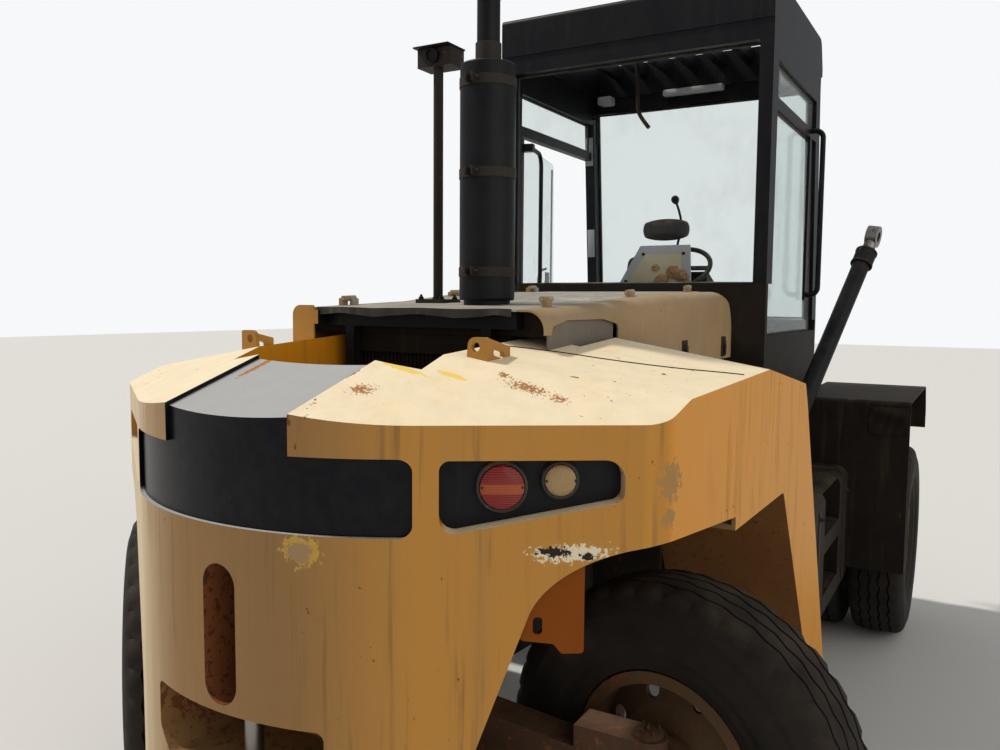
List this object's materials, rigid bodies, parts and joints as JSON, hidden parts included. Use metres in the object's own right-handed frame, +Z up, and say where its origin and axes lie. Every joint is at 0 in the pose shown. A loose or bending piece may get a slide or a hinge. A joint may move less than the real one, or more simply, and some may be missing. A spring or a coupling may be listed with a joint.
{
  "type": "heavy-duty forklift",
  "caption": "Heavy counterbalance forklift without its mast: pale counterweight on steered wheels, engine hood, dark cab, twin front tyres and two loose tilt cylinders.",
  "frame": {"origin": "on the ground under the middle of the truck's outline", "axes": "+X forwards, towards where the mast stood; +Y to the driver's left; +Z up"},
  "size_m": [4.3667, 2.8145, 3.313],
  "materials": {
    "cream_paint": "faded gloss, dusty",
    "yellow_paint": "faded gloss with rust",
    "black_paint": "satin, dusty",
    "dark_steel": "worn matt",
    "axle_dust": "dusty",
    "bare_steel": "scuffed",
    "tyre_rubber": "worn and dusty",
    "rim_paint": "rusty",
    "clear_glass": "dirty",
    "red_lens": "glossy",
    "white_lens": "glossy",
    "seat_cover": "torn",
    "cab_plastic": "dusty"
  },
  "bodies": {
    "chassis": {"counterweight": "cream_paint", "lift_ears": "yellow_paint", "rear_fender_left": "yellow_paint", "rear_fender_right": "yellow_paint", "arch_plates": "yellow_paint", "lamp_panels": "dark_steel", "tail_lamps": "red_lens", "reverse_lamps": "white_lens", "tow_pin": "bare_steel", "frame": "dark_steel", "engine_block": "dark_steel", "radiator": "black_paint", "hood_top": "cream_paint", "engine_skirts": "black_paint", "muffler": "black_paint", "camera_post": "dark_steel", "drive_axle": "dark_steel", "steer_axle": "axle_dust", "steer_cylinder": "axle_dust", "cab_base": "black_paint", "cab_frame": "black_paint", "cab_roof": "black_paint", "cab_glass": "clear_glass", "seat": "seat_cover", "console": "cab_plastic", "front_fenders": "black_paint", "tanks": "black_paint"},
    "knuckle_left": {"knuckle_left": "axle_dust"},
    "knuckle_right": {"knuckle_right": "axle_dust"},
    "wheel_rear_left": {"tyre_rear_left": "tyre_rubber", "rim_rear_left": "rim_paint"},
    "wheel_rear_right": {"tyre_rear_right": "tyre_rubber", "rim_rear_right": "rim_paint"},
    "wheels_front_left": {"tyres_front_left": "tyre_rubber", "rims_front_left": "rim_paint"},
    "wheels_front_right": {"tyres_front_right": "tyre_rubber", "rims_front_right": "rim_paint"},
    "door": {"door_left": "black_paint", "door_glass": "clear_glass"},
    "hood_panel_left": {"hood_side_left": "cream_paint"},
    "hood_panel_right": {"hood_side_right": "cream_paint"},
    "tilt_left": {"tilt_barrel_left": "black_paint"},
    "tilt_right": {"tilt_barrel_right": "black_paint"},
    "tilt_piston_left": {"tilt_rod_left": "bare_steel"},
    "tilt_piston_right": {"tilt_rod_right": "bare_steel"}
  },
  "joints": [
    {"name": "front_wheels_left_spin", "type": "hinge", "parent": "chassis", "child": "wheels_front_left", "pos_m": [1.67, 0.812, 0.53], "axis": [0, 1, 0], "continuous": true},
    {"name": "front_wheels_right_spin", "type": "hinge", "parent": "chassis", "child": "wheels_front_right", "pos_m": [1.67, -0.812, 0.53], "axis": [0, 1, 0], "continuous": true},
    {"name": "steer_left", "type": "hinge", "parent": "chassis", "child": "knuckle_left", "pos_m": [-1.42, 0.84, 0.53], "axis": [0, 0, 1], "range_deg": [-130, 0]},
    {"name": "steer_right", "type": "hinge", "parent": "chassis", "child": "knuckle_right", "pos_m": [-1.42, -0.84, 0.53], "axis": [0, 0, 1], "range_deg": [-130, 0]},
    {"name": "rear_wheel_left_spin", "type": "hinge", "parent": "knuckle_left", "child": "wheel_rear_left", "pos_m": [-1.55023, 0.94927, 0.53], "axis": [-0.766, 0.6428, 0], "continuous": true},
    {"name": "rear_wheel_right_spin", "type": "hinge", "parent": "knuckle_right", "child": "wheel_rear_right", "pos_m": [-1.25258, -0.86952, 0.53], "axis": [-0.9848, 0.1736, 0], "continuous": true},
    {"name": "door_hinge", "type": "hinge", "parent": "chassis", "child": "door", "pos_m": [0.549, 0.704, 2], "axis": [0, 0, 1], "range_deg": [-14, 81]},
    {"name": "hood_hinge_left", "type": "hinge", "parent": "chassis", "child": "hood_panel_left", "pos_m": [-0.5, 0.397, 1.88653], "axis": [0.999, 0, 0.0458], "range_deg": [0, 62]},
    {"name": "hood_hinge_right", "type": "hinge", "parent": "chassis", "child": "hood_panel_right", "pos_m": [-0.5, -0.397, 1.88653], "axis": [-0.999, 0, -0.0458], "range_deg": [0, 62]},
    {"name": "tilt_pivot_left", "type": "hinge", "parent": "chassis", "child": "tilt_left", "pos_m": [0.52, 0.775, 1.15], "axis": [0, 1, 0], "range_deg": [-5, 4]},
    {"name": "tilt_pivot_right", "type": "hinge", "parent": "chassis", "child": "tilt_right", "pos_m": [0.52, -0.775, 1.15], "axis": [0, 1, 0], "range_deg": [-20, 24]},
    {"name": "tilt_slide_left", "type": "slide", "parent": "tilt_left", "child": "tilt_piston_left", "axis": [0.9962, 0, 0.0872], "range_m": [0, 0.35]},
    {"name": "tilt_slide_right", "type": "slide", "parent": "tilt_right", "child": "tilt_piston_right", "axis": [0.5704, -0.1994, 0.7968], "range_m": [0, 0.35]}
  ],
  "couplings": [
    {"joint": "steer_left", "follows": "steer_right", "ratio": 1}
  ]
}
